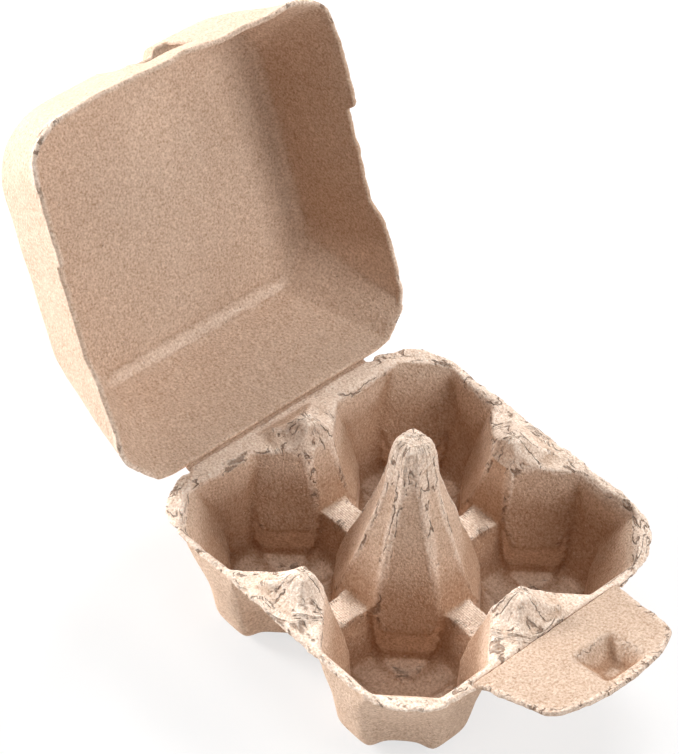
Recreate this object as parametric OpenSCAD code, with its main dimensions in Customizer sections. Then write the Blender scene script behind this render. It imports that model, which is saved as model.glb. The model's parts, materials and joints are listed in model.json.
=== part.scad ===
// Moulded pulp egg carton for four eggs, open: a tray of four cups, its hinged lid and its lock flap.
// Millimetres. X runs from the hinge to the lock flap, Y along the hinge, Z up; the feet stand at Z 0.
// The three pieces are one moulding in life, parted here only at the two creases that fold.

/* [Tray] */
// outer length from the hinge crease to the far rim
tray_length = 108; // [96:1:130]
// outer width along the hinge
tray_width = 100.4; // [94:0.2:120]
// height of the rim above the table
tray_height = 36.3; // [32:0.1:45]
// thickness of the pulp
wall = 1.6; // [1.2:0.1:2.2]
// radius of the tray's corners
tray_corner = 18.5; // [12:0.5:22]
// distance from one cup to the next, away from the hinge
pitch_x = 50; // [47:0.5:53]
// distance from one cup to the next, along the hinge
pitch_y = 48; // [46:0.5:52]

/* [Cups] */
// how far a foot reaches from the middle of its cup, inside
foot_reach = 17.8; // [15:0.1:19]
// half width of a foot, inside
foot_half = 5.6; // [4:0.1:7]
// radius of the rounding under a foot
foot_round = 4.6; // [2:0.1:5]
// how far the slanting corners of a cup are from its middle at the floor, inside
floor_corner = 14.2; // [12:0.1:15.5]
// how much higher the floor is at the slanting corners than at the feet
floor_lift = 1.6; // [0.5:0.1:3]
// height over the floor up to which a cup's corners stand nearly upright
shelf_height = 11.4; // [8:0.1:14]
// width of the rim on the flap's side
rim_width = 3.2; // [2.5:0.1:5]
// width of the rim at the two sides
side_rim = 1.8; // [1.5:0.1:4]
// width of the flat strip along the hinge
hinge_strip = 6.4; // [4:0.1:8]
// how far the rim's inner edge is from a cup's middle at the tray's corners
rim_corner = 26.6; // [24:0.1:28]
// how far the rim's inner edge flares out over the cup's wall
lip_out = 1.5; // [0.5:0.1:2]
// depth over which it flares
lip_depth = 3.4; // [2:0.1:5]

/* [Dividers] */
// drop from the rim to the low saddle between two cups
saddle_drop = 18.3; // [14:0.1:20]
// thickness of the ridge between two cups at the saddle
saddle_width = 8.6; // [6.5:0.1:11]
// height of the middle cone above the rim
cone_height = 30.8; // [22:0.1:31]
// width of the cone's blunt top
cone_top = 9.6; // [7:0.1:13]
// how far the cone's sides are from straight, which is 1
cone_lean = 0.86; // [0.75:0.01:1]
// height of the four side posts above the rim
post_height = 6.4; // [3:0.1:9]
// width of a post's blunt top
post_top = 6.4; // [5:0.1:8]
// distance from the tray's edge to the outer side of a post's top
post_set_back = 8.8; // [7:0.1:11]

/* [Lid] */
// how far the lid is opened in the pose shown
lid_open = 111.6; // [90:0.1:160]
// outer length of the lid's rim, from the hinge crease
lid_length = 109.6; // [98:0.2:132]
// outer width of the lid's rim
lid_width = 103; // [97:0.5:124]
// depth of the lid inside
lid_depth = 31.6; // [29:0.1:40]
// thickness of the lid's wall
lid_wall = 1.5; // [1.2:0.1:2]
// how far the ceiling is set in from the rim at the hinge
lid_slope_back = 14.2; // [8:0.1:18]
// how far it is set in at the front
lid_slope_front = 7.6; // [5:0.1:12]
// how far it is set in at each side
lid_slope_side = 6; // [4:0.1:10]
// radius of the rounding between the lid's walls and its ceiling
lid_round = 4; // [2:0.5:6]
// radius of the lid's corners at the rim
lid_corner = 14; // [8:1:18]
// how much the corners' radius grows up to the ceiling
lid_corner_gain = 4; // [0:0.5:6]
// height of the hollows in the lid's side rims
side_hollow = 3.2; // [1:0.1:5]
// length of the hollows in the lid's side rims
side_hollow_length = 34; // [20:1:44]
// depth of the notch in the ceiling's front edge
top_notch = 2.7; // [1:0.1:3.5]
// width of that notch
top_notch_width = 17; // [10:0.5:26]

/* [Lock flap] */
// how far the flap is bent up in the pose shown
flap_lift = 10; // [0:1:20]
// distance from the tray's edge in to the flap's crease
flap_inset = 1.7; // [1.4:0.1:2.4]
// length of the flap from crease to free edge
flap_length = 28; // [24:0.5:28.5]
// width of the flap at its crease
flap_root = 51.6; // [44:0.1:56]
// width of the flap where its corners turn
flap_end = 44.6; // [38:0.1:48]
// thickness of the flap
flap_wall = 1.4; // [1:0.1:1.5]
// width of the pressed button along the flap
button_width = 13; // [9:0.5:20]
// length of the pressed button across the flap
button_length = 12; // [8:0.5:13]
// depth of the pressed button
button_depth = 5.5; // [3:0.1:7]
// distance from the crease to the middle of the button
button_place = 18.5; // [16:0.5:19]
// distance of the button from the flap's middle
button_shift = 4.5; // [0:0.5:8]
// space between the button and the window in the lid
button_space = 0.9; // [0.6:0.1:1.5]

/* [Creases] */
// gap left at each crease
crease_gap = 0.3; // [0.2:0.05:0.5]
// how far the flap can fold down from level
flap_fold_down = 45; // [20:5:60]

/* [Hidden] */
half_x = tray_length / 2;
half_y = tray_width / 2;
cell_x = pitch_x / 2;
cell_y = pitch_y / 2;
floor_z = wall - tray_height;
saddle_z = -saddle_drop;
shelf_z = floor_z + shelf_height;
shelf_corner = floor_corner + 0.5;
channel_half = 8;
post_foot_half = 10;
post_foot_gap = 2.6;
fold_x = half_x - flap_inset;
lid_lean = atan(lid_slope_front / lid_depth);
flap_folded = 90 + lid_lean;
button_edge = 1;
window_over = 1;
thin = 0.01;
deep = 60;
above = cone_height + 1;

// How far a cup's slanting corner is from the cup's middle at height z, beside the cone or a post.
function lean(z) =
    let (reach = norm([cell_x, cell_y]) - cone_top / 2)
    let (s = (z - shelf_z) / (cone_height - shelf_z))
    shelf_corner + (reach - shelf_corner) * pow(max(s, 0), cone_lean);

// How far it is at the tray's own corner.
function corner_lean(z) = shelf_corner + (rim_corner - lip_out - shelf_corner) * (z - shelf_z) / -shelf_z;

// How far a straight wall is from the cup's middle at height z, when it is at reach at height top_z.
function upright(z, reach, top_z) = foot_reach + (reach - foot_reach) * (z - floor_z) / (top_z - floor_z);
function far_x(z, rim) = upright(z, half_x - rim - lip_out - cell_x, 0);
function far_y(z) = upright(z, half_y - side_rim - lip_out - cell_y, 0);
function near_x(z) = upright(z, cell_x - saddle_width / 2, saddle_z);
function near_y(z) = upright(z, cell_y - saddle_width / 2, saddle_z);

// A thin level box from x0 to x1 and from y0 to y1.
module plate(z, x0, x1, y0, y1) {
    translate([x0, y0, z])
        cube([x1 - x0, y1 - y0, thin]);
}

// A thin level box around the Z axis.
module square_plate(z, half_width, half_depth) {
    plate(z, -half_width, half_width, -half_depth, half_depth);
}

// A thin level plate with eight sides: straight ones at e, n, w and s, a slanting one at ne between
// e and n, and the three other slanting ones at other.
module eight_sides(z, e, n, w, s, ne, other) {
    q = sqrt(2);
    east = min(e, other * q - 0.5);
    north = min(n, other * q - 0.5);
    west = min(w, other * q - 0.5);
    south = min(s, other * q - 0.5);
    translate([0, 0, z])
        linear_extrude(thin)
            polygon([
                [east, ne * q - east], [ne * q - north, north],
                [north - other * q, north], [-west, other * q - west],
                [-west, west - other * q], [south - other * q, -south],
                [other * q - south, -south], [east, east - other * q]
            ]);
}

// The moulding is drawn twice: with g at 0 for its top, and with g at the wall's thickness for its
// underside. g widens and deepens a hollow, and shrinks what stands up.

// One of a cup's two crossing troughs, whose ends are the feet. ahead and behind are its reach at Z 1.
module trough(g, ahead, behind) {
    r = foot_round + g;
    hull() {
        for (turn = [0 : 22.5 : 90]) {
            d = g - r * (1 - sin(turn));
            side = foot_half + g - r * (1 - sin(turn)) / 2;
            plate(floor_z + foot_round - r * cos(turn), -foot_reach - d, foot_reach + d, -side, side);
        }
        plate(1, -behind - g, ahead + g, -foot_half - g, foot_half + g);
    }
}

// The hollow of one cup around its middle, on the +X and +Y side of the tray.
module cup(g, rim) {
    trough(g, far_x(1, rim), near_x(1));
    mirror([1, -1, 0])
        trough(g, far_y(1), near_y(1));
    hull() {
        low = floor_z + floor_lift;
        r = 2 + g;
        for (turn = [0 : 30 : 90]) {
            d = g - r * (1 - sin(turn));
            a = foot_reach - 1.5 + d;
            eight_sides(low + 2 - r * cos(turn), a, a, a, a, floor_corner + d, floor_corner + d);
        }
        a = foot_reach - 1 + g;
        eight_sides(shelf_z + thin, a, a, a, a, shelf_corner + g, shelf_corner + g);
    }
    hull()
        for (step = [0 : 8]) {
            z = shelf_z + (above - shelf_z) * step / 8;
            eight_sides(
                z, far_x(z, rim) + g, far_y(z) + g, near_x(z) + g, near_y(z) + g, corner_lean(z) + g, lean(z) + g
            );
        }
    lip(g, rim);
}

// The flare under the rim's inner edge, on a cup's two outer sides.
module lip(g, rim) {
    hull()
        for (step = [0 : 2]) {
            z = -lip_depth * (1 - step / 2);
            out = lip_out * (1 - cos(45 * step)) + g;
            for (up = [0 : 1])
                if (up == 0 || step == 2)
                    eight_sides(
                        z + up, far_x(z, rim) + out, far_y(z) + out, near_x(z) + g, near_y(z) + g,
                        corner_lean(z) + out, lean(z) + g
                    );
        }
}

module cups(g) {
    for (sx = [0, 1], sy = [0, 1])
        mirror([sx, 0, 0])
            mirror([0, sy, 0])
                translate([cell_x, cell_y, 0])
                    cup(g, sx == 0 ? rim_width : hinge_strip);
}

// The middle cone before the cups cut its slanting sides.
module cone_block(g) {
    half = cone_top / 2 - g;
    hull() {
        for (z = [-deep, saddle_z])
            square_plate(z, cell_x - foot_half - g, cell_y - foot_half - g);
        square_plate(cone_height - 2.4 - g, half, half);
        square_plate(cone_height - 0.7 - g, half - 0.8, half - 0.8);
        square_plate(cone_height - g, half - 2.2, half - 2.2);
    }
}

// The open way over the saddles, between the two posts at its ends.
module channel(g, cell, half) {
    hull() {
        square_plate(saddle_z - g, cell + foot_half + g, channel_half);
        square_plate(post_height, half - post_set_back - post_top + g, channel_half);
    }
}

// A post at the +X end of a channel, from the rim up.
module post(g, half) {
    outer = half - post_set_back - g;
    inner = outer - post_top + 2 * g;
    side = post_top / 2 - g;
    hull() {
        for (z = [-g - 1, -g])
            plate(z, inner - 2, half - post_foot_gap - g, g - post_foot_half, post_foot_half - g);
        plate(post_height - 1.8 - g, inner, outer + 0.8, -side, side);
        plate(post_height - 0.6 - g, inner + 0.5, outer, 0.5 - side, side - 0.5);
        plate(post_height - g, inner + 1.3, outer - 1, 1.4 - side, side - 1.4);
    }
}

module posts(g) {
    for (turn = [0, 180]) {
        rotate([0, 0, turn])
            post(g, half_x);
        rotate([0, 0, turn + 90])
            post(g, half_y);
    }
}

// Everything under the pulp's top, or under its underside.
module mould(g) {
    difference() {
        union() {
            difference() {
                translate([-tray_length, -tray_length, -deep])
                    cube([2 * tray_length, 2 * tray_length, deep - g]);
                channel(g, cell_x, half_x);
                rotate([0, 0, 90])
                    channel(g, cell_y, half_y);
            }
            cone_block(g);
            posts(g);
        }
        cups(g);
    }
}

// The tray seen from above, with the nicks at the hinge's ends and the recess at the flap.
module tray_outline() {
    difference() {
        hull()
            for (sx = [-1, 1], sy = [-1, 1])
                translate([sx * (half_x - tray_corner), sy * (half_y - tray_corner), -deep])
                    cylinder(r = tray_corner, h = 2 * deep, $fn = 64);
        for (side = [-1, 1])
            translate([-half_x, side * (half_y - tray_corner + 2), -deep])
                cylinder(r = 1.4, h = 2 * deep, $fn = 12);
        translate([fold_x, -flap_root / 2 - crease_gap, -deep])
            cube([2 * flap_inset, flap_root + 2 * crease_gap, 2 * deep]);
    }
}

module tray() {
    score = [0.9, tray_width - 2 * tray_corner, 1];
    color([0.79, 0.66, 0.55])
        place()
            difference() {
                intersection() {
                    tray_outline();
                    difference() {
                        mould(0);
                        mould(wall);
                    }
                }
                translate([2 - half_x, -score[1] / 2, -0.4])
                    cube(score);
            }
}

// The lid is drawn closed, with its crease on the Y axis and its rim at Z 0.

function set_in(z, slope) = slope * z / lid_depth;

// One level of the lid's inside at height z, brought in by d on every side. A negative d widens it.
module lid_level(z, d) {
    r = lid_corner - lid_wall - d + set_in(max(z, 0), lid_corner_gain);
    back = lid_wall + set_in(z, lid_slope_back) + d;
    front = lid_length - lid_wall - set_in(z, lid_slope_front) - d;
    side = lid_width / 2 - lid_wall - set_in(z, lid_slope_side) - d;
    hull()
        for (x = [back + r, front - r], y = [r - side, side - r])
            translate([x, y, z])
                cylinder(r = r, h = thin, $fn = 32);
}

// The lid's inside as a solid, grown by g. Its front edge is notched at the ceiling.
module lid_block(g) {
    notch_front = lid_length - lid_wall - set_in(lid_depth, lid_slope_front) - top_notch + g;
    difference() {
        hull() {
            lid_level(-1, -g);
            for (turn = [0 : 22.5 : 90]) {
                r = lid_round + g;
                lid_level(lid_depth - lid_round + r * sin(turn), r * (1 - cos(turn)) - g);
            }
        }
        translate([notch_front, g - top_notch_width / 2, lid_depth - 3 + g])
            cube([lid_length, top_notch_width - 2 * g, lid_depth]);
    }
}

// A hollow in a rim along Y: long at the rim, shorter at its top.
module rim_hollow(long, top) {
    hull() {
        square_plate(-1, 6, long / 2);
        square_plate(top, 6, long / 2 - 4);
    }
}

module lid() {
    clear_flap = crease_gap + (lid_length - half_x - fold_x) * tan(flap_lift);
    color([0.83, 0.70, 0.60])
        place()
            hinged(-half_x, lid_open)
                difference() {
                    lid_block(lid_wall);
                    lid_block(0);
                    translate([lid_length, 0, 0])
                        rim_hollow(flap_root + 10, clear_flap + crease_gap);
                    for (side = [-1, 1])
                        translate([lid_length * 0.51, side * lid_width / 2, 0])
                            rotate([0, 0, 90])
                                rim_hollow(side_hollow_length, crease_gap + side_hollow);
                    translate([fold_x + half_x, 0, 0])
                        rotate([0, -flap_folded, 0])
                            lock_window();
                    translate([-lid_length / 2, -lid_width, -lid_depth])
                        cube([2 * lid_length, 2 * lid_width, lid_depth + crease_gap]);
                    translate([-lid_length, -lid_width, 0])
                        cube([lid_length + crease_gap, 2 * lid_width, 2 * lid_depth]);
                }
}

// The window that the button stands in, drawn on the flap as it lies level. It passes through the
// lid's front wall and stands out by window_over on both sides of it.
module lock_window() {
    grow = button_space + button_edge;
    outside = (lid_length - half_x - fold_x) * cos(lid_lean) + window_over;
    inside = (lid_length - lid_wall - half_x - fold_x) * cos(lid_lean) - window_over;
    translate([button_place, button_shift, -outside])
        linear_extrude(outside - inside)
            square([button_length + 2 * grow, button_width + 2 * grow], center = true);
}

// The button's hollow, or its outside when g is the flap's thickness.
module button(g) {
    edge = g > 0 ? button_edge : 0;
    long = button_length / 2 + edge;
    wide = button_width / 2 + edge;
    translate([button_place, button_shift, 0])
        hull() {
            square_plate(-button_depth - g, long - 3.4, wide - 3.4);
            square_plate(-button_depth - g + 1.4, long - 2.4, wide - 2.4);
            square_plate(-g / 2, long, wide);
            if (g == 0)
                square_plate(1, long + 1, wide + 1);
        }
}

// The flap's outline from above, its crease at X 0: straight slanting sides and a bowed free edge.
module flap_outline() {
    turn = 4;
    hull() {
        translate([crease_gap / 2, -flap_root / 2])
            square([thin, flap_root]);
        for (side = [-1, 1])
            translate([flap_length - 3 - turn, side * (flap_end / 2 - turn)])
                circle(r = turn, $fn = 32);
        translate([flap_length - 2, -flap_root / 8])
            square([2, flap_root / 4]);
    }
}

module lock_flap() {
    color([0.86, 0.73, 0.63])
        place()
            hinged(fold_x, flap_lift)
                difference() {
                    union() {
                        translate([0, 0, -flap_wall])
                            linear_extrude(flap_wall)
                                flap_outline();
                        button(flap_wall);
                    }
                    button(0);
                    rotate([0, -flap_fold_down, 0])
                        translate([crease_gap - 20, -flap_root, -20])
                            cube([20, 2 * flap_root, 20]);
                }
}

// Turns a piece up by an angle about the crease at x.
module hinged(x, angle) {
    translate([x, 0, 0])
        rotate([0, -angle, 0])
            children();
}

// The part's frame: the middle of its bounding box, with the feet at Z 0.
lid_reach = min([
    for (turn = [0 : 22.5 : 90])
        let (r = lid_round + lid_wall)
        let (z = lid_depth - lid_round + r * sin(turn))
        let (x = lid_length - set_in(z, lid_slope_front) - r * (1 - cos(turn)))
        x * cos(lid_open) - z * sin(lid_open)
]) - half_x;
flap_reach = fold_x + flap_length * cos(flap_lift) + flap_wall * sin(flap_lift);
tray_x = -(lid_reach + flap_reach) / 2;

module place() {
    translate([tray_x, 0, tray_height])
        children();
}

tray();
lid();
lock_flap();
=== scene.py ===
import json
import math

import bpy
import bmesh
import numpy as np
from mathutils import Matrix, Vector, noise


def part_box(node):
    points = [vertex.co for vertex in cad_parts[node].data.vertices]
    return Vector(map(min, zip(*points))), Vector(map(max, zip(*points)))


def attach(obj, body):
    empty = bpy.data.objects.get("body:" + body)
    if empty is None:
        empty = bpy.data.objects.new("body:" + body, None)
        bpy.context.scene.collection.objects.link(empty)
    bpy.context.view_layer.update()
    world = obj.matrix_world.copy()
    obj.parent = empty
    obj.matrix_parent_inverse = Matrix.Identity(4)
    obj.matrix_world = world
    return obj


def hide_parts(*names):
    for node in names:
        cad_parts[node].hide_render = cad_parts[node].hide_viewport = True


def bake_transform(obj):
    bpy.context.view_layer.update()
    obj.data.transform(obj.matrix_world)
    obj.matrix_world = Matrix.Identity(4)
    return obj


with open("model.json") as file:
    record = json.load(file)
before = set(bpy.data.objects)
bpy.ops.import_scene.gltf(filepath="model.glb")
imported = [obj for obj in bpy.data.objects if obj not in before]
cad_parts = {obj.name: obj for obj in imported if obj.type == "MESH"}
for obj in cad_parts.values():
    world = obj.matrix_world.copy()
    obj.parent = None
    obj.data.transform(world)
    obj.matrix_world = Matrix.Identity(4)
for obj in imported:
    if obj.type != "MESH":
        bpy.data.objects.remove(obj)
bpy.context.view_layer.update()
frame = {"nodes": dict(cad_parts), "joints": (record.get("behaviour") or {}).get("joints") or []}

mm = 0.001
tiny = 1e-15
crackStretch = 0.24
quarters = ((1, 0), (-1, 0), (0, 1), (0, -1))
joints = {joint["name"]: joint for joint in frame["joints"]}
hingeAt = Vector(joints["lid_hinge"]["pos_m"])
foldAt = Vector(joints["flap_fold"]["pos_m"])
lidOpen = math.radians(-joints["lid_hinge"]["range_deg"][0])
trayLow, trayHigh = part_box("tray")
pieceTriangles = 190000
trayMiddle = Vector((hingeAt.x + (trayHigh.x - trayLow.x) / 2, 0, hingeAt.z))


# Skins: triangle meshes with named values at their points, such as wear, painted highlight and painted
# shade.

class Skin:
    def __init__(self, points, triangles):
        self.points = points
        self.triangles = triangles
        self.values = {}

    def normals(self):
        a, b, c = (self.points[self.triangles[:, k]] for k in range(3))
        across = np.cross(b - a, c - a)
        total = np.zeros_like(self.points)
        for k in range(3):
            np.add.at(total, self.triangles[:, k], across)
        return total / np.maximum(np.linalg.norm(total, axis=1), tiny)[:, None]

    # Each triangle's three sides, in its own direction.
    def sides(self):
        return np.vstack([self.triangles[:, pair] for pair in ([0, 1], [1, 2], [2, 0])])

    def edges(self):
        return np.unique(np.sort(self.sides(), axis=1), axis=0)

    def average(self, what, rounds=1, share=1.0):
        a, b = self.edges().T
        count = np.bincount(np.r_[a, b], minlength=len(self.points)).astype(float)
        count = np.maximum(count, 1)
        what = what.copy()
        for _ in range(rounds):
            total = np.zeros_like(what)
            np.add.at(total, a, what[b])
            np.add.at(total, b, what[a])
            mean = total / (count if what.ndim == 1 else count[:, None])
            what += share * (mean - what)
        return what

    # Positive on ridges, negative in valleys, as the sum of the two curvatures.
    def bending(self, spacing):
        offset = self.average(self.points) - self.points
        return -np.einsum("ij,ij->i", offset, self.normals()) * 4 / spacing ** 2

    # Drops what lies where field is above zero, and slides the nearest points onto its edge.
    def clip(self, field):
        a, b = self.edges().T
        crossing = field[a] * field[b] < 0
        a, b = a[crossing], b[crossing]
        share = field[a] / (field[a] - field[b])
        target = self.points[a] + share[:, None] * (self.points[b] - self.points[a])
        mover = np.where(share < 0.5, a, b)
        moved = np.zeros_like(self.points)
        count = np.zeros(len(self.points))
        np.add.at(moved, mover, target)
        np.add.at(count, mover, 1)
        held = count > 0
        self.points[held] = moved[held] / count[held, None]
        field = np.where(held, 0, field)
        self.keep((field[self.triangles] <= 0).all(axis=1) & (field[self.triangles] < 0).any(axis=1))

    def keep(self, which):
        self.triangles = self.triangles[which]
        used = np.unique(self.triangles)
        place = np.full(len(self.points), -1)
        place[used] = np.arange(len(used))
        self.points = self.points[used]
        self.triangles = place[self.triangles]
        self.values = {name: value[used] for name, value in self.values.items()}

    # The border's directed edges, each with its surface on the left.
    def border(self):
        pairs = self.sides()
        size = len(self.points)
        forth = pairs[:, 0] * size + pairs[:, 1]
        back = pairs[:, 1] * size + pairs[:, 0]
        return pairs[~np.isin(forth, back)]

    # A closed sheet: this surface, its copy one wall further in, and a rounded rim between them.
    def thickened(self, wall, bulge):
        out = self.normals()
        rim = self.border()
        along = self.points[rim[:, 1]] - self.points[rim[:, 0]]
        away = np.zeros_like(self.points)
        for k in range(2):
            np.add.at(away, rim[:, k], np.cross(along, out[rim[:, k]]))
        away /= np.maximum(np.linalg.norm(away, axis=1), tiny)[:, None]
        ring = np.unique(rim)
        size = len(self.points)
        place = np.full(size, -1)
        place[ring] = np.arange(len(ring)) + 2 * size
        thick = wall if np.ndim(wall) == 0 else wall[:, None]
        under = self.points - out * thick
        half = (self.points[ring] + under[ring]) / 2 + away[ring] * bulge
        points = np.vstack([self.points, under, half])
        a, b = rim.T
        faces = [
            self.triangles, self.triangles[:, ::-1] + size,
            np.c_[b, a, place[a]], np.c_[b, place[a], place[b]],
            np.c_[place[b], place[a], a + size], np.c_[place[b], a + size, b + size],
        ]
        sheet = Skin(points, np.vstack(faces))
        for name, value in self.values.items():
            inside = value * (0.3 if name == "worn" else 1)
            sheet.values[name] = np.concatenate([value, inside, value[ring]])
        return sheet

    # Turns the skin about the Y axis and sets its origin on a crease.
    def place(self, at, turn):
        turned = Matrix.Translation(at) @ Matrix.Rotation(turn, 4, "Y")
        self.points = self.points @ np.array(turned.to_3x3()).T + np.array(turned.translation)

    def piece(self, name, material):
        mesh = bpy.data.meshes.new(name)
        mesh.from_pydata(self.points.tolist(), [], self.triangles.tolist())
        for key, value in self.values.items():
            kind, field = ("FLOAT", "value") if value.ndim == 1 else ("FLOAT_VECTOR", "vector")
            attribute = mesh.attributes.new(key, kind, "POINT")
            attribute.data.foreach_set(field, value.astype(np.float32).ravel())
        made = bpy.data.objects.new(name, mesh)
        bpy.context.scene.collection.objects.link(made)
        if len(self.triangles) > pieceTriangles:
            change = made.modifiers.new("thinner", "DECIMATE")
            change.ratio = pieceTriangles / len(self.triangles)
            graph = bpy.context.evaluated_depsgraph_get()
            made.data = bpy.data.meshes.new_from_object(made.evaluated_get(graph))
            made.modifiers.clear()
        mesh = made.data
        mesh.polygons.foreach_set("use_smooth", [True] * len(mesh.polygons))
        mesh.materials.append(material)
        print(name, len(mesh.polygons), "triangles")
        return made


def remeshed(points, faces, voxel):
    mesh = bpy.data.meshes.new("block")
    mesh.from_pydata(points, [], faces)
    block = bpy.data.objects.new("block", mesh)
    bpy.context.scene.collection.objects.link(block)
    change = block.modifiers.new("voxels", "REMESH")
    change.mode = "VOXEL"
    change.voxel_size = voxel
    graph = bpy.context.evaluated_depsgraph_get()
    even = bpy.data.meshes.new_from_object(block.evaluated_get(graph))
    even.calc_loop_triangles()
    co = np.zeros(len(even.vertices) * 3)
    even.vertices.foreach_get("co", co)
    corners = np.zeros(len(even.loop_triangles) * 3, dtype=np.int64)
    even.loop_triangles.foreach_get("vertices", corners)
    bpy.data.objects.remove(block)
    return Skin(co.reshape(-1, 3), corners.reshape(-1, 3))


def listed(shape):
    shape.verts.index_update()
    points = [tuple(v.co) for v in shape.verts]
    faces = [[v.index for v in face.verts] for face in shape.faces]
    shape.free()
    return points, faces


# Two triangles for each square of a grid of points.
def gridSkin(points):
    index = np.arange(points.shape[0] * points.shape[1]).reshape(points.shape[:2])
    corners = (index[:-1, :-1], index[1:, :-1], index[1:, 1:], index[:-1, 1:])
    a, b, c, d = (corner.ravel() for corner in corners)
    return Skin(points.reshape(-1, 3), np.vstack([np.c_[a, b, c], np.c_[a, c, d]]))


# Smooth noise at each point, about -1 to 1, with lumps of the given size.
def lumps(points, size, octaves, seed):
    shift = Vector((17.3 * seed, 5.1 * seed, 3.7 * seed))
    return np.array([noise.fractal(Vector(p) + shift, 1.0, 2.0, octaves) for p in points / size])


def ramp(value, low, high):
    t = np.clip((value - low) / (high - low), 0, 1)
    return t * t * (3 - 2 * t)


def roundedBox(x, y, halfX, halfY, radius):
    dx = np.abs(x) - halfX + radius
    dy = np.abs(y) - halfY + radius
    return np.hypot(np.maximum(dx, 0), np.maximum(dy, 0)) + np.minimum(np.maximum(dx, dy), 0) - radius


# Materials: one small class writes shader maths as plain expressions.

class Wire:
    def __init__(self, tree, socket):
        self.tree = tree
        self.socket = socket

    def node(self, kind, settings=None, output=0, **inputs):
        made = self.tree.nodes.new(kind)
        for key, value in (settings or {}).items():
            if key == "stops":
                for k, (place, shade) in enumerate(value):
                    stop = made.color_ramp.elements[k] if k < 2 else made.color_ramp.elements.new(place)
                    stop.position = place
                    stop.color = shade
            else:
                setattr(made, key, value)
        for key, value in inputs.items():
            socket = made.inputs[int(key[1:])] if key[1:].isdigit() else made.inputs[key.replace("_", " ")]
            if isinstance(value, Wire):
                self.tree.links.new(value.socket, socket)
            else:
                socket.default_value = value
        return Wire(self.tree, made.outputs[output])

    def math(self, operation, *others, clamp=False):
        values = {f"i{k}": value for k, value in enumerate((self, *others))}
        return self.node("ShaderNodeMath", {"operation": operation, "use_clamp": clamp}, **values)

    def __add__(self, other):
        return self.math("ADD", other)

    __radd__ = __add__

    def __mul__(self, other):
        return self.math("MULTIPLY", other)

    def __sub__(self, other):
        return self.math("SUBTRACT", other)

    def __rsub__(self, other):
        return self.math("MULTIPLY_ADD", -1.0, other)

    def __abs__(self):
        return self.math("ABSOLUTE")

    def clamped(self):
        return self.math("ADD", 0.0, clamp=True)

    def stepped(self, low, high):
        return self.node(
            "ShaderNodeMapRange", {"interpolation_type": "SMOOTHSTEP"},
            Value=self, From_Min=low, From_Max=high, To_Min=0.0, To_Max=1.0,
        )

    def mixed(self, factor, other, blend="MIX"):
        settings = {"data_type": "RGBA", "blend_type": blend, "clamp_factor": True}
        return self.node("ShaderNodeMix", settings, output=2, i0=factor, i6=self, i7=other)


pulp = {
    "base": (0.72, 0.525, 0.395, 1),
    # pale tone of worn ridges and rims: real wear, partly a painted highlight
    "worn": (0.93, 0.755, 0.625, 1),
    # painted highlight on level floors and along the lid's bead
    "level": (0.94, 0.75, 0.61, 1),
    # painted shade in grooves, hollows and creases
    "groove": (0.40, 0.225, 0.13, 1),
    "crack": (0.17, 0.085, 0.045, 1),
    "darkFleck": (0.20, 0.105, 0.06, 1),
    "paleFleck": (0.93, 0.82, 0.70, 1),
    "grain": 0.66 * mm,
    "mottle": 2.6 * mm,
    "cloud": 17 * mm,
    "grainDepth": 0.32 * mm,
    "crackDepth": 0.45 * mm,
    "hatchPitch": 0.9 * mm,
    "sway": 0.9 * mm,
    "swaySize": 1.6 * mm,
    "longCrack": 2.6 * mm,
    "shortCrack": 1.5 * mm,
    "crackBreaks": 4.2 * mm,
}


# shade below 1 darkens the base colour: a painted-shade copy of the pulp.
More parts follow.
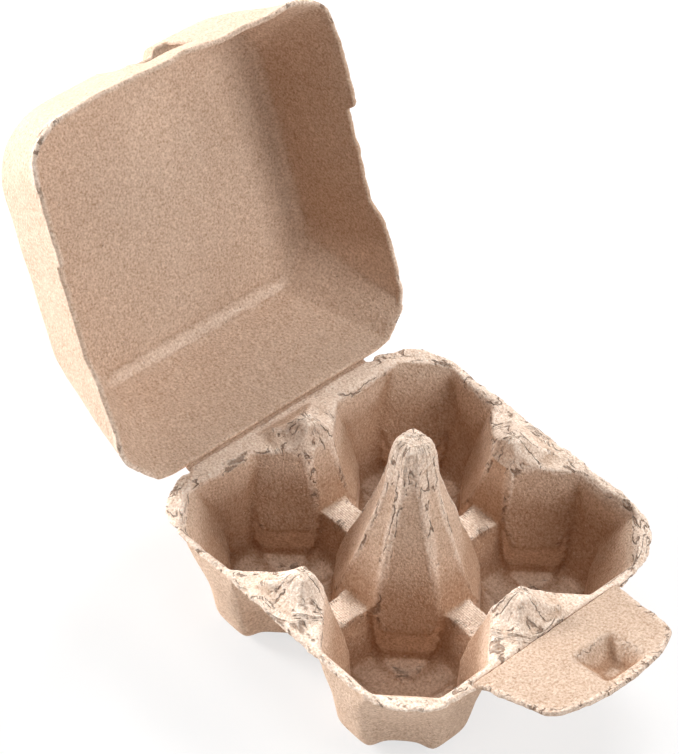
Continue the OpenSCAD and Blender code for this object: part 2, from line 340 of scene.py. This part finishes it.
def pulpMaterial(name, seed, shade=1.0):
    material = bpy.data.materials.new(name)
    material.use_nodes = True
    tree = material.node_tree
    shader = tree.nodes["Principled BSDF"]
    start = Wire(tree, None)
    here = start.node("ShaderNodeTexCoord", output=3)
    at = start.node("ShaderNodeMapping", i0=here, Location=(seed, 0.7 * seed, 0.3 * seed))

    def attribute(key, output=2):
        return start.node("ShaderNodeAttribute", {"attribute_name": key}, output=output)

    def clouds(vector, size, detail):
        return start.node("ShaderNodeTexNoise", Vector=vector, Scale=1 / size, Detail=detail, Roughness=0.6)

    def specks(size, radius, share):
        cell = start.node("ShaderNodeTexVoronoi", Vector=at, Scale=1 / size)
        pick = Wire(tree, cell.socket.node.outputs["Color"])
        red = start.node("ShaderNodeSeparateColor", i0=pick)
        near = 1 - cell.stepped(radius * 0.6 / size, radius / size)
        return near * red.math("LESS_THAN", share)

    worn = attribute("worn")
    groove = attribute("groove")
    hatch = attribute("hatch")
    level = attribute("level")
    grain = clouds(at, pulp["grain"], 2.0)
    mottle = clouds(at, pulp["mottle"], 3.0)
    cloud = clouds(at, pulp["cloud"], 2.0)
    strain = attribute("strain", output=1)
    sway = start.node("ShaderNodeTexNoise", output=1, Vector=at, Scale=1 / pulp["swaySize"], Detail=3.0)
    bent = strain.node(
        "ShaderNodeVectorMath", {"operation": "MULTIPLY_ADD"}, i0=sway, i1=(pulp["sway"],) * 3, i2=strain,
    )
    long = abs(clouds(bent, pulp["longCrack"], 1.0) - 0.5)
    short = abs(clouds(bent, pulp["shortCrack"], 1.0) - 0.5)
    broken = clouds(at, pulp["crackBreaks"], 2.0)
    longCrack = (1 - long.stepped(0.004, 0.042)) * broken.stepped(0.45, 0.53) * worn.stepped(0.2, 0.5)
    shortCrack = (1 - short.stepped(0.003, 0.035)) * (1 - broken.stepped(0.36, 0.44))
    shortCrack = shortCrack * worn.stepped(0.7, 1.0)
    crack = (longCrack + shortCrack * 0.5).clamped()
    wrinkle = long.stepped(0.0, 0.14) + short.stepped(0.0, 0.14) * 0.5
    split = start.node("ShaderNodeSeparateXYZ", i0=at)
    side = Wire(tree, split.socket.node.outputs["Y"])
    turn = 2 * math.pi / pulp["hatchPitch"]
    screen = ((split + side) * (turn * 0.7)).math("SINE") * ((split - side) * (turn * 0.7)).math("SINE")
    dark = specks(1.9 * mm, 0.24 * mm, 0.5)
    darker = specks(5.5 * mm, 0.33 * mm, 0.35)
    pale = specks(1.7 * mm, 0.24 * mm, 0.4)

    tone = start.node("ShaderNodeRGB")
    tone.socket.default_value = (*(shade * c for c in pulp["base"][:3]), 1)
    # Worn ridges and rims turn paler: partly wear, partly a painted highlight.
    tone = tone.mixed(worn.stepped(0.1, 0.8) * 0.75, pulp["worn"])
    # Painted highlight: lighter on level floors and along the lid's bead.
    tone = tone.mixed(level * 0.8, pulp["level"])
    # Painted shade: darker and redder in grooves, hollows, deep steep walls and creases.
    tone = tone.mixed(groove.stepped(0.1, 1.0) * 0.75, pulp["groove"])
    change = (grain - 0.5) * 1.15 + (mottle - 0.5) * 0.22 + (cloud - 0.5) * 0.12
    light = start.node("ShaderNodeCombineColor", i0=1 + change, i1=1 + change * 1.35, i2=1 + change * 1.65)
    tone = tone.mixed(1.0, light, "MULTIPLY")
    tone = tone.mixed(pale * 0.45, pulp["paleFleck"])
    tone = tone.mixed(dark * 0.5 + darker * 0.65, pulp["darkFleck"])
    tone = tone.mixed(crack * 0.7, pulp["crack"])
    tree.links.new(tone.socket, shader.inputs["Base Color"])

    height = (grain - 0.5) * (pulp["grainDepth"] / mm) + (mottle - 0.5) * 0.3 - dark * 0.04
    height = height - crack * (pulp["crackDepth"] / mm) + wrinkle * worn * 0.12 + screen * hatch * 0.09
    bump = start.node("ShaderNodeBump", Strength=1.0, Distance=mm, Height=height)
    tree.links.new(bump.socket, shader.inputs["Normal"])
    shader.inputs["Roughness"].default_value = 0.95
    shader.inputs["Specular IOR Level"].default_value = 0.15
    return material


# The tray: the solid is meshed evenly, softened, crumpled on its ridges and torn along its rim.

tray = {
    "voxel": 0.5 * mm,
    "corner": 18.5 * mm,
    "halfLength": 54 * mm,
    "halfWidth": 50.2 * mm,
    "tear": 0.55 * mm,
    "coneTop": 30.8 * mm,
    "postAt": (41.8 * mm, 38.2 * mm),
    "postTop": 6.4 * mm,
    "saddle": -18.3 * mm,
    "cellX": 25 * mm,
    "cellY": 24 * mm,
    "fineTear": 0.22 * mm,
    "sag": 0.30 * mm,
    "crumple": 0.38 * mm,
    "wave": 0.8 * mm,
    "slump": 1.2 * mm,
    "sideBulge": 0.9 * mm,
    "cornerDent": 1.4 * mm,
    "inset": 0.1 * mm,
}


def mergedMesh(name):
    shape = bmesh.new()
    shape.from_mesh(frame["nodes"][name].data)
    bmesh.ops.remove_doubles(shape, verts=shape.verts, dist=0.001 * mm)
    return listed(shape)


# Where cracks run: their coordinates change slowly down a slope or along the rim, and fast across.
def trayStrain(x, y, z, rimBand):
    strain = np.stack([crackStretch * x, crackStretch * y, z], -1)
    across = np.minimum(tray["halfLength"] - np.abs(x), tray["halfWidth"] - np.abs(y))
    alongRim = np.stack([crackStretch * x, crackStretch * y, across], -1)
    share = rimBand[:, None]
    strain = strain * (1 - share) + alongRim * share
    ends = [(0, 0, tray["coneTop"], 21 * mm, 9 * mm)]
    for sx, sy in quarters:
        ends.append((sx * tray["postAt"][0], sy * tray["postAt"][1], tray["postTop"], 9 * mm, 4 * mm))
    for cx, cy, top, reach, girth in ends:
        dx, dy, dz = x - cx, y - cy, z - top
        flat = np.maximum(np.hypot(dx, dy), girth / 3)
        drop = crackStretch * (np.abs(dz) + 0.4 * flat)
        around = np.stack([girth * dx / flat, girth * dy / flat, drop], -1)
        share = (1 - ramp(flat, reach, 1.35 * reach))[:, None]
        strain = strain * (1 - share) + around * share
    return strain


def makeTray(material):
    skin = remeshed(*mergedMesh("tray"), tray["voxel"])
    skin.points = skin.average(skin.points, 5, 0.5)
    normal = skin.average(skin.normals(), 3, 0.6)
    above = ramp(normal[:, 2], 0.0, 0.15)
    below = trayMiddle.z - skin.points[:, 2]
    under = skin.average(1 - above, 6, 0.6) * ramp(below, 8 * mm, 20 * mm)
    skin.points = skin.points + under[:, None] * (skin.average(skin.points, 40, 0.8) - skin.points)
    bend = skin.average(skin.bending(tray["voxel"]), 1, 0.6) * mm
    x, y, z = (skin.points - np.array(trayMiddle)).T
    edge = roundedBox(x, y, tray["halfLength"], tray["halfWidth"], tray["corner"])
    rimBand = ramp(edge, -5.0 * mm, -1 * mm) * ramp(z, -4.5 * mm, -2.5 * mm)
    ridge = skin.average(ramp(bend, 0.10, 0.45) * above, 22, 0.7)
    high = ramp(z, -17 * mm, -2 * mm)
    fromAxis = np.hypot(x, y)
    tip = (1 - ramp(fromAxis, 8 * mm, 14 * mm)) * ramp(z, 14 * mm, 22 * mm)
    posts = np.maximum(
        (1 - ramp(np.hypot(np.abs(x) - tray["postAt"][0], y), 6.5 * mm, 11 * mm)),
        (1 - ramp(np.hypot(x, np.abs(y) - tray["postAt"][1]), 6.5 * mm, 11 * mm)),
    ) * ramp(z, -4 * mm, 0)
    corner = ramp(np.abs(x), 30 * mm, 42 * mm) * ramp(np.abs(y), 26 * mm, 36 * mm)
    hinge = ramp(-x, 46 * mm, 49 * mm) * (1 - ramp(np.abs(y), 32 * mm, 38 * mm))
    # Wear on the ridges, the cone's tip, the posts and the rim; its pale tone is partly a painted
    # highlight.
    worn = ramp(ridge, 0.08, 0.34) * (0.45 + 0.55 * high) + 0.8 * tip + 0.65 * posts
    worn = np.clip(worn + rimBand * (0.22 + 0.25 * corner), 0, 1)
    worn = worn * (1 - 0.7 * hinge) * (0.15 + 0.85 * above)
    # Painted shade in the valleys, and on steep faces deep in the cells.
    groove = skin.average(ramp(-bend, 0.10, 0.45) * above, 9, 0.7) * (1 - rimBand)
    steep = 1 - ramp(normal[:, 2], 0.45, 0.85)
    groove = np.clip(groove + 0.8 * ramp(-z, 0, 14 * mm) * above * steep, 0, 1)
    onSaddle = [
        (1 - ramp(np.hypot(x - sx * tray["cellX"], y - sy * tray["cellY"]), 5 * mm, 8 * mm))
        for sx, sy in quarters
    ]
    hatch = np.max(onSaddle, axis=0) * ramp(z, tray["saddle"] - 3 * mm, tray["saddle"]) * above
    # Painted highlight on the level floors of the cells.
    flat = ramp(normal[:, 2], 0.75, 0.97) * ramp(z, -24 * mm, -20 * mm)
    strain = trayStrain(x, y, z, rimBand)
    skin.values = {"worn": worn, "groove": groove, "hatch": hatch, "level": flat, "strain": strain}

    sag = np.stack([lumps(skin.points, 15 * mm, 2, seed) for seed in (1, 21, 31)], -1) * tray["sag"]
    crumple = lumps(strain, 2.4 * mm, 2, 2) * tray["crumple"] * worn * above * (1 - 0.5 * rimBand)
    wave = lumps(skin.points, 9 * mm, 2, 3) * tray["wave"] * rimBand * (1 - hinge)
    probe = 0.1 * mm
    outX = roundedBox(x + probe, y, tray["halfLength"], tray["halfWidth"], tray["corner"]) - edge
    outY = roundedBox(x, y + probe, tray["halfLength"], tray["halfWidth"], tray["corner"]) - edge
    ragged = lumps(skin.points, 4.5 * mm, 3, 4) * tray["tear"]
    ragged = ragged + lumps(skin.points, 1.3 * mm, 2, 5) * tray["fineTear"]
    flapSide = ramp(x, 50 * mm, 52 * mm) * (1 - ramp(np.abs(y), 25 * mm, 27 * mm))
    free = (1 - 0.85 * hinge) * (1 - 0.8 * flapSide)
    free = free * ramp(edge, -3 * mm, -0.3 * mm) * ramp(z, -6 * mm, -2 * mm)
    bulge = tray["sideBulge"] * ramp(y, 41 * mm, 49 * mm) * (1 - ramp(x, 24 * mm, 38 * mm))
    fromDent = np.hypot(x - 52 * mm, y - 40 * mm)
    bulge = bulge - tray["cornerDent"] * (1 - ramp(fromDent, 4 * mm, 15 * mm))
    push = (ragged + bulge - tray["inset"]) * free
    out = np.stack([outX, outY, outX * 0], -1) / probe
    slump = np.clip(z / tray["postTop"], 0, 1)
    slump = 4 * slump * (1 - slump) * posts * tray["slump"]
    lift = np.stack([wave * 0, wave * 0, wave - slump], -1)
    leftward = -(0.67 * x + 0.74 * y) / np.maximum(fromAxis, 1 * mm)
    slim = 0.6 * ramp(z, -16 * mm, -4 * mm) + 0.55 * ramp(z, -2 * mm, 10 * mm)
    slim = slim * (1 - ramp(z, 12 * mm, 27 * mm)) * (1 - ramp(fromAxis, 20 * mm, 27 * mm))
    slim = slim * (0.8 + 0.5 * ramp(leftward, 0.2, 0.9)) * mm / np.maximum(fromAxis, 1 * mm)
    lift = lift - np.stack([x, y, z * 0], -1) * slim[:, None]
    skin.points = skin.points + sag * (1 - 0.7 * hinge)[:, None] + normal * crumple[:, None]
    skin.points = skin.points + lift + out * push[:, None]
    return skin.piece("trayPulp", material)


# The lid: rings from its rim to its ceiling, drawn closed, in a frame with its crease on the Y axis.

lid = {
    "length": 109.6 * mm,
    "halfWidth": 51.5 * mm,
    "depth": 31.6 * mm,
    "wall": 1.5 * mm,
    "voxel": 0.62 * mm,
    "back": 14.2 * mm,
    "front": 7.6 * mm,
    "side": 6.0 * mm,
    "round": 2.4 * mm,
    "corner": 14 * mm,
    "frontGain": 6 * mm,
    "hingeGain": 7 * mm,
    "tear": 0.5 * mm,
    "hollow": 3.2 * mm,
    "frontHollow": 1.1 * mm,
    "notch": 3.0 * mm,
    "windowAt": 18.5 * mm,
    "windowShift": 4.5 * mm,
    "windowLong": 7.9 * mm,
    "windowWide": 8.4 * mm,
    "windowRound": 1.5 * mm,
    "fineTear": 0.15 * mm,
    "rimBend": 2.0 * mm,
    "soft": 0.42 * mm,
    "crumple": 0.7 * mm,
    "wave": 0.6 * mm,
}


def lidRing(w, inward):
    share = w / lid["depth"]
    back = lid["back"] * share + inward
    front = lid["length"] - lid["front"] * share - inward
    side = lid["halfWidth"] - lid["side"] * share - inward
    points = []
    for sign in (-1, 1):
        radius = lid["corner"] + lid["frontGain"] * share - inward
        for k in range(9):
            turn = math.radians(90 * k / 8)
            along = front - radius + radius * math.sin(turn)
            beside = side - radius + radius * math.cos(turn)
            points.append((along, sign * beside, w))
        radius = lid["corner"] + lid["hingeGain"] * share - inward
        for degrees in (0, 20, 70, 90):
            turn = math.radians(degrees)
            along = back + radius - radius * math.sin(turn)
            beside = side - radius + radius * math.cos(turn)
            points.append((along, sign * beside, w))
    return points


def makeLid(material):
    points = lidRing(-3 * mm, 0) + lidRing(0, 0) + lidRing(lid["depth"] * 0.55, 0)
    radius = lid["round"] + lid["wall"]
    for k in range(7):
        turn = math.radians(90 * k / 6)
        height = lid["depth"] - lid["round"] + radius * math.sin(turn)
        points += lidRing(height, radius * (1 - math.cos(turn)))
    shape = bmesh.new()
    for point in points:
        shape.verts.new(point)
    made = bmesh.ops.convex_hull(shape, input=shape.verts)
    inner = made["geom_interior"] + made["geom_unused"]
    spare = {part for part in inner if isinstance(part, bmesh.types.BMVert)}
    bmesh.ops.delete(shape, geom=list(spare), context="VERTS")
    bmesh.ops.recalc_face_normals(shape, faces=shape.faces)
    skin = remeshed(*listed(shape), lid["voxel"])
    skin.keep((skin.points[skin.triangles][:, :, 2] > -2 * mm).all(axis=1))
    skin.points = skin.average(skin.points, 4, 0.5)

    u, v, w = skin.points.T
    atFront = ramp(u, 92 * mm, 98 * mm)
    notch = (1 - ramp(np.abs(v - 0.5 * mm), 6.3 * mm, 8.7 * mm)) * ramp(w, 18 * mm, 31 * mm) * atFront
    skin.points[:, 0] -= lid["notch"] * notch
    bent = ramp(v, 1 * mm, 20 * mm) * ramp(u, 70 * mm, 104 * mm) * (1 - ramp(w, 2 * mm, 26 * mm))
    skin.points[:, 0] -= lid["rimBend"] * bent
    fromEdge = (u - lid["back"] - 3.2 * mm) / (1.15 * mm)
    onBead = ramp(w, 26 * mm, 30 * mm) * (1 - ramp(np.abs(v), 27 * mm, 36 * mm))
    bead = np.exp(-fromEdge ** 2) * onBead
    beside = np.exp(-(fromEdge - 2.6) ** 2) * onBead
    skin.points[:, 2] -= (1.15 * bead - 0.35 * beside) * mm
    bend = skin.average(skin.bending(lid["voxel"]), 2, 0.6) * mm
    rimBand = 1 - ramp(w, 1 * mm, 6 * mm)
    atEnds = np.maximum(1 - ramp(u, 12 * mm, 24 * mm), ramp(u, 90 * mm, 100 * mm))
    atCorner = ramp(np.abs(v), 30 * mm, 42 * mm) * atEnds
    # Wear on the lid's ridges and crumpled rim; its pale tone is partly a painted highlight.
    worn = skin.average(ramp(bend, 0.10, 0.40), 3, 0.7) * 0.5
    crumpled = rimBand * (0.3 + 0.4 * atCorner)
    worn = np.clip(worn * 0.5 + crumpled, 0, 1) * (1 - 0.6 * (1 - ramp(u, 1 * mm, 3 * mm)))
    # Painted shade in the lid's inner corners and on the inner face of its +Y side wall.
    groove = skin.average(ramp(bend, 0.06, 0.30), 4, 0.7) * 0.5
    groove = groove + 0.6 * ramp(v, 43 * mm, 47 * mm) * ramp(u, 20 * mm, 32 * mm)
    strain = np.stack([crackStretch * u, crackStretch * v, w], -1)
    # The bead along the hinge edge gets a painted highlight.
    skin.values = {"worn": worn, "groove": groove, "hatch": worn * 0, "level": bead * 0.8, "strain": strain}

    normal = skin.normals()
    soft = lumps(skin.points, 22 * mm, 2, 6) * lid["soft"]
    crumple = lumps(strain, 2.2 * mm, 3, 7) * lid["crumple"] * worn * worn
    straight = 1 - ramp(u, 3 * mm, 9 * mm)
    wave = lumps(skin.points, 11 * mm, 2, 8) * lid["wave"] * rimBand * (1 - straight)
    skin.points = skin.points + normal * (soft * (1 - straight) + crumple + wave)[:, None]

    u, v, w = skin.points.T
    ragged = lumps(skin.points, 4.2 * mm, 3, 9) * lid["tear"]
    ragged = ragged + lumps(skin.points, 1.3 * mm, 2, 10) * lid["fineTear"]
    atSide = ramp(np.abs(v), 40 * mm, 46 * mm)
    hollow = lid["hollow"] * ramp(u, 34 * mm, 42 * mm) * (1 - ramp(u, 70 * mm, 72 * mm)) * atSide
    frontHollow = lid["frontHollow"] * (1 - ramp(np.abs(v), 27 * mm, 30.5 * mm)) * atFront
    field = 0.45 * mm + hollow + frontHollow + ragged * (1 - straight) - w
    along = w / math.cos(math.atan(lid["front"] / lid["depth"]))
    window = roundedBox(
        along - lid["windowAt"], v - lid["windowShift"],
        lid["windowLong"], lid["windowWide"], lid["windowRound"],
    )
    window = np.where(u > 96 * mm, -window + lumps(skin.points, 1.6 * mm, 2, 11) * 0.2 * mm, -1.0)
    skin.clip(np.maximum(field, window))
    sheet = skin.thickened(lid["wall"], 0.3 * mm)
    sheet.place(hingeAt, -lidOpen)
    return sheet.piece("lidPulp", material)


# The lock flap: one level sheet with a pressed button, bent up about its crease.

flap = {
    "length": 28 * mm,
    "halfRoot": 25.8 * mm,
    "corners": [
        (0, -26.2), (22, -21.4), (25.2, -17.2), (27.4, -10), (28.6, 0),
        (28.2, 9), (27, 16), (24, 22.2), (20, 23.6), (0, 25.6),
    ],
    "wall": 1.35 * mm,
    "step": 0.5 * mm,
    "lift": math.radians(10),
    "buttonAt": 18.5 * mm,
    "buttonShift": 4.5 * mm,
    "buttonLong": 6.8 * mm,
    "buttonWide": 7.3 * mm,
    "buttonDepth": 5.5 * mm,
    "gap": 0.3 * mm,
    "tear": 0.35 * mm,
    "fineTear": 0.14 * mm,
    "buttonRound": 2 * mm,
    "sharp": 0.5 * mm,
    "inset": 0.2 * mm,
}


def makeFlap(material):
    xs = np.arange(-1 * mm, flap["length"] + 2 * mm, flap["step"])
    ys = np.arange(-flap["halfRoot"] - 2 * mm, flap["halfRoot"] + 2 * mm, flap["step"])
    x, y = np.meshgrid(xs, ys, indexing="ij")
    skin = gridSkin(np.stack([x, y, x * 0], -1))
    x, y = skin.points[:, :2].T
    press = roundedBox(
        x - flap["buttonAt"], y - flap["buttonShift"],
        flap["buttonLong"], flap["buttonWide"], flap["buttonRound"],
    )
    lean = np.where(x > flap["buttonAt"], 1.0, 1.25)
    dimple = ramp(-press / lean, -0.6 * mm, 4.4 * mm)
    skin.points[:, 2] = -flap["buttonDepth"] * dimple
    skin.points = skin.average(skin.points, 4, 0.5)
    x, y = skin.points[:, :2].T
    turns = [Vector(corner) * mm for corner in flap["corners"]]
    sides = []
    for here, after in zip(turns, turns[1:]):
        along = (after - here).normalized()
        sides.append((x - here.x) * along.y - (y - here.y) * along.x)
    outline = flap["sharp"] * np.log(sum(np.exp(side / flap["sharp"]) for side in sides))
    rimBand = ramp(outline, -3 * mm, -0.4 * mm) * ramp(x, 1 * mm, 4 * mm)
    bend = skin.bending(flap["step"]) * mm
    button = ramp(-press, -3 * mm, 1 * mm)
    # Wear on the flap's rim and button; its pale tone is partly a painted highlight.
    worn = np.clip(0.5 * rimBand + 0.4 * skin.average(ramp(bend, 0.05, 0.3), 3, 0.7) * button, 0, 1)
    # Painted shade in the button's hollows.
    groove = skin.average(ramp(-bend, 0.08, 0.4), 3, 0.7) * button
    flat = worn * 0
    strain = skin.points.copy()
    skin.values = {"worn": worn, "groove": groove, "hatch": flat, "level": flat, "strain": strain}
    skin.points[:, 2] += lumps(skin.points, 14 * mm, 2, 12) * 0.3 * mm * ramp(x, 0, 6 * mm)
    skin.points[:, 2] += lumps(skin.points, 3 * mm, 2, 13) * 0.25 * mm * worn
    ragged = lumps(skin.points, 3.4 * mm, 3, 14) * flap["tear"]
    ragged = ragged + lumps(skin.points, 1.2 * mm, 2, 15) * flap["fineTear"]
    outside = outline + flap["inset"] + ragged * ramp(x, 0, 3 * mm)
    behind = flap["gap"] / 2 + flap["inset"] + ragged * 0.5 - x
    skin.clip(np.maximum(outside, behind))
    under = ramp(skin.points[:, 0], 0, 1.6 * mm)
    sheet = skin.thickened(flap["wall"] * (0.45 + 0.55 * under), 0.3 * mm)
    sheet.place(foldAt, -flap["lift"])
    return sheet.piece("flapPulp", material)


# The creases: narrow strips of thinned pulp that bend across each fold.

creases = {
    "hinge": {
        "half": 32.6 * mm,
        "top": [(1.3, -0.25), (0.7, -0.42), (0.15, -0.5), (-0.35, -0.3), (-0.8, 0.15), (-1.3, 0.5)],
        "thick": 0.75 * mm,
    },
    "flap": {
        "half": 25.2 * mm,
        "top": [(-1.2, -0.45), (-0.6, -0.7), (-0.1, -0.85), (0.4, -0.8), (0.9, -0.55), (1.4, -0.3)],
        "thick": 0.5 * mm,
    },
}


def makeCrease(name, numbers, at, material):
    rows = np.arange(-numbers["half"], numbers["half"], 0.6 * mm)
    across = [Vector((x * mm, 0, z * mm)) for x, z in numbers["top"]]
    if across[0].x > across[-1].x:
        across.reverse()
    skin = gridSkin(np.array([[(at.x + p.x, y, at.z + p.z) for y in rows] for p in across]))
    skin.points[:, 2] += lumps(skin.points, 2.2 * mm, 2, 16) * 0.16 * mm
    flat = np.zeros(len(skin.points))
    strain = skin.points.copy()
    # The crease strip is painted evenly darker: painted shade in the fold.
    skin.values = {"worn": flat + 0.2, "groove": flat + 0.5, "hatch": flat, "level": flat, "strain": strain}
    return skin.thickened(numbers["thick"], 0.1 * mm).piece(name, material)


trayMaterial = pulpMaterial("trayPulpFinish", 0.31)
lidMaterial = pulpMaterial("lidPulpFinish", 1.73)
# The flap's copy of the pulp has its base colour 0.87 as bright: painted shade.
flapMaterial = pulpMaterial("flapPulpFinish", 2.47, 0.87)

trayPiece = makeTray(trayMaterial)
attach(trayPiece, "tray")
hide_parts("tray")

lidPiece = makeLid(lidMaterial)
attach(lidPiece, "lid")
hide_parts("lid")

flapPiece = makeFlap(flapMaterial)
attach(flapPiece, "lock_flap")
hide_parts("lock_flap")

hingeCrease = makeCrease("hingeCrease", creases["hinge"], hingeAt, trayMaterial)
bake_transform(hingeCrease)

flapCrease = makeCrease("flapCrease", creases["flap"], foldAt, trayMaterial)
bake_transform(flapCrease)
print("pieces made")


# The table, the light and the camera.

table = {"size": 3.0, "colour": (0.93, 0.925, 0.92, 1), "glow": 0.72}
studio = {
    "topLamp": {"at": (0.0, 0.0, 1.2), "size": 0.4, "power": 3.2},
    "backLeftLamp": {"at": (-0.95, -0.55, 0.45), "size": 0.4, "power": 17.0},
    "backLamp": {"at": (-0.6, 0.8, 0.9), "size": 0.4, "power": 12.5},
    "rightLamp": {"at": (0.9, 0.6, 0.8), "size": 0.4, "power": 7.8},
    "lowRightLamp": {"at": (1.15, -0.1, 0.22), "size": 0.35, "power": 1.4},
    "lowLamp": {"at": (-0.5, -1.0, 0.25), "size": 0.4, "power": 1.6},
}
sky = 0.03
view = {
    "at": (0.384454, -0.376134, 0.577399),
    "towards": (-0.52957, 0.48161, -0.69829),
    "roll": 0.019,
    "focalPixels": 2934,
    "pictureHeight": 754,
    "sensor": 36,
}


def makeTable():
    bpy.ops.mesh.primitive_plane_add(size=table["size"], location=(0, 0, 0))
    plane = bpy.context.object
    plane.name = "tableTop"
    material = bpy.data.materials.new("tableTopFinish")
    material.use_nodes = True
    tree = material.node_tree
    shader = tree.nodes["Principled BSDF"]
    shader.inputs["Base Color"].default_value = table["colour"]
    shader.inputs["Roughness"].default_value = 0.9
    start = Wire(tree, None)
    seen = start.node("ShaderNodeLightPath", output=0)
    glow = start.node("ShaderNodeEmission", Color=(1, 1, 1, 1), Strength=1.0)
    matt = Wire(tree, shader.outputs[0])
    both = start.node("ShaderNodeMixShader", i0=seen * table["glow"], i1=matt, i2=glow)
    tree.links.new(both.socket, tree.nodes["Material Output"].inputs["Surface"])
    plane.data.materials.append(material)


def makeLamp(name, numbers):
    data = bpy.data.lights.new(name, "AREA")
    data.size = numbers["size"]
    data.energy = numbers["power"]
    lamp = bpy.data.objects.new(name, data)
    lamp.location = numbers["at"]
    aim = Vector((0, 0, 0.05)) - lamp.location
    lamp.rotation_euler = aim.to_track_quat("-Z", "Y").to_euler()
    bpy.context.scene.collection.objects.link(lamp)


def makeWorld():
    world = bpy.data.worlds.new("studio")
    world.use_nodes = True
    tree = world.node_tree
    start = Wire(tree, None)
    seen = start.node("ShaderNodeLightPath", output=0)
    strength = seen * (1 - sky) + sky
    tree.links.new(strength.socket, tree.nodes["Background"].inputs["Strength"])
    tree.nodes["Background"].inputs["Color"].default_value = (1, 1, 1, 1)
    bpy.context.scene.world = world


def makeCamera():
    data = bpy.data.cameras.new("camera")
    data.sensor_width = view["sensor"]
    data.lens = view["focalPixels"] / view["pictureHeight"] * view["sensor"]
    data.clip_start = 0.01
    data.clip_end = 20
    camera = bpy.data.objects.new("camera", data)
    camera.location = trayMiddle + Vector(view["at"])
    turn = Vector(view["towards"]).to_track_quat("-Z", "Y").to_matrix()
    camera.rotation_euler = (turn @ Matrix.Rotation(view["roll"], 3, "Z")).to_euler()
    bpy.context.scene.collection.objects.link(camera)
    bpy.context.scene.camera = camera


makeTable()
for name, numbers in studio.items():
    makeLamp(name, numbers)
makeWorld()
makeCamera()
bpy.context.scene.view_settings.view_transform = "Standard"
print("stage made")
